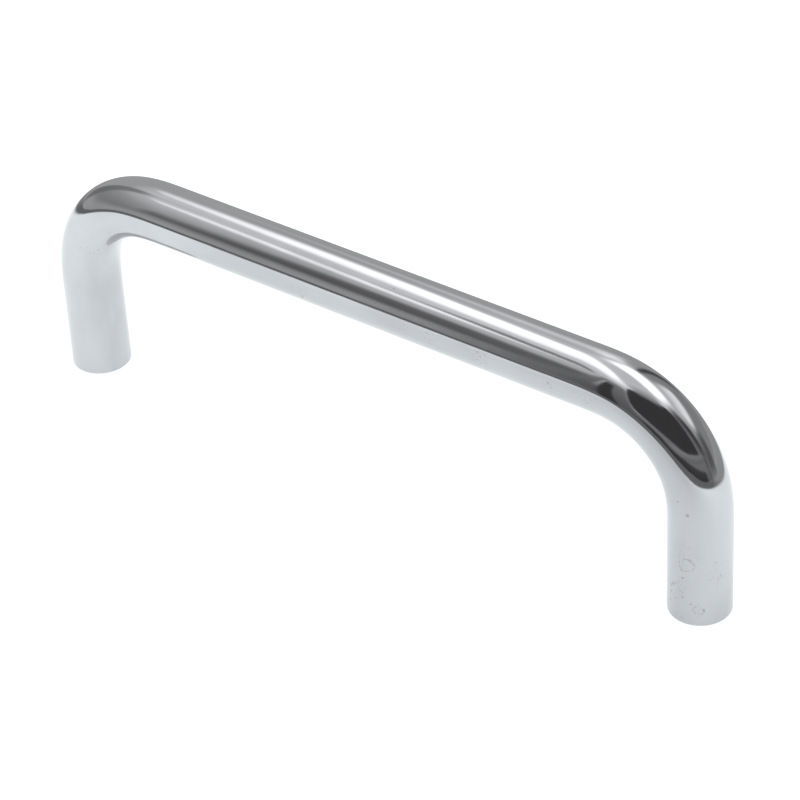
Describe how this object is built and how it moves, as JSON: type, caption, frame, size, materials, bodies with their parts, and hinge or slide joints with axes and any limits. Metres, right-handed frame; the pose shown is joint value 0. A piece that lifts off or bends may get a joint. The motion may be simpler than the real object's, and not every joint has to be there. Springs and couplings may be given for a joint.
{
  "type": "wire pull",
  "caption": "Straight round-bar handle for a drawer or cabinet door, bent from solid rod with legs at right angles and tapped feet, polished and chrome plated.",
  "frame": {"origin": "midway between the two screw holes, on the mounting face that the feet stand on", "axes": "+X along the grip, +Z out of the drawer front towards the hand, +Y across the rod"},
  "size_m": [0.104, 0.008, 0.032],
  "materials": {
    "chrome_plate": "polished"
  },
  "bodies": {
    "root": {"wire_pull": "chrome_plate"}
  },
  "joints": []
}
